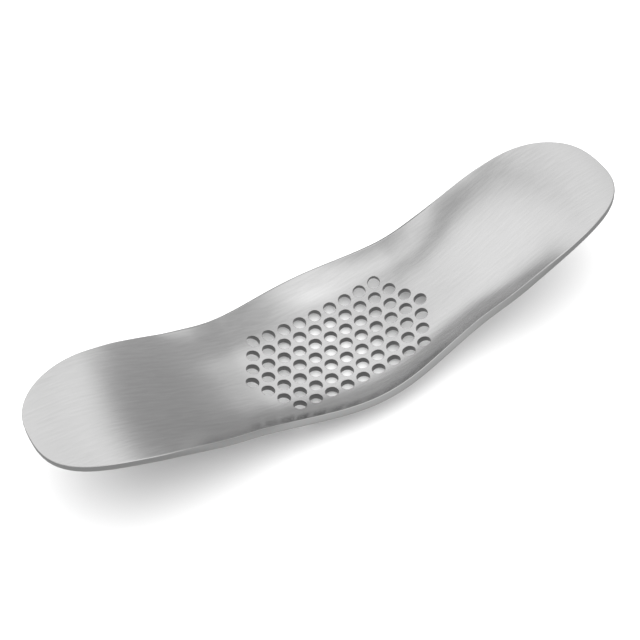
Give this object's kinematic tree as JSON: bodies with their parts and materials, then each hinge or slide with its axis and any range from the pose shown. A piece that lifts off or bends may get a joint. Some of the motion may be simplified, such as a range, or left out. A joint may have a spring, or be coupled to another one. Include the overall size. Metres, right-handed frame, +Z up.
{
  "type": "garlic rocker press",
  "caption": "Curved, perforated steel plate that is rocked over peeled garlic to press it up through its holes into a shallow dish between two raised grips.",
  "frame": {"origin": "centre of the plate's footprint, on the floor where the underside touches down", "axes": "+X along the plate, from grip to grip; +Y across it; +Z up, out of the dish"},
  "size_m": [0.192, 0.056, 0.0287],
  "materials": {
    "steel": "stainless steel brushed along its length, with smoothed edges"
  },
  "bodies": {
    "root": {"rocker_plate": "steel"}
  },
  "joints": []
}
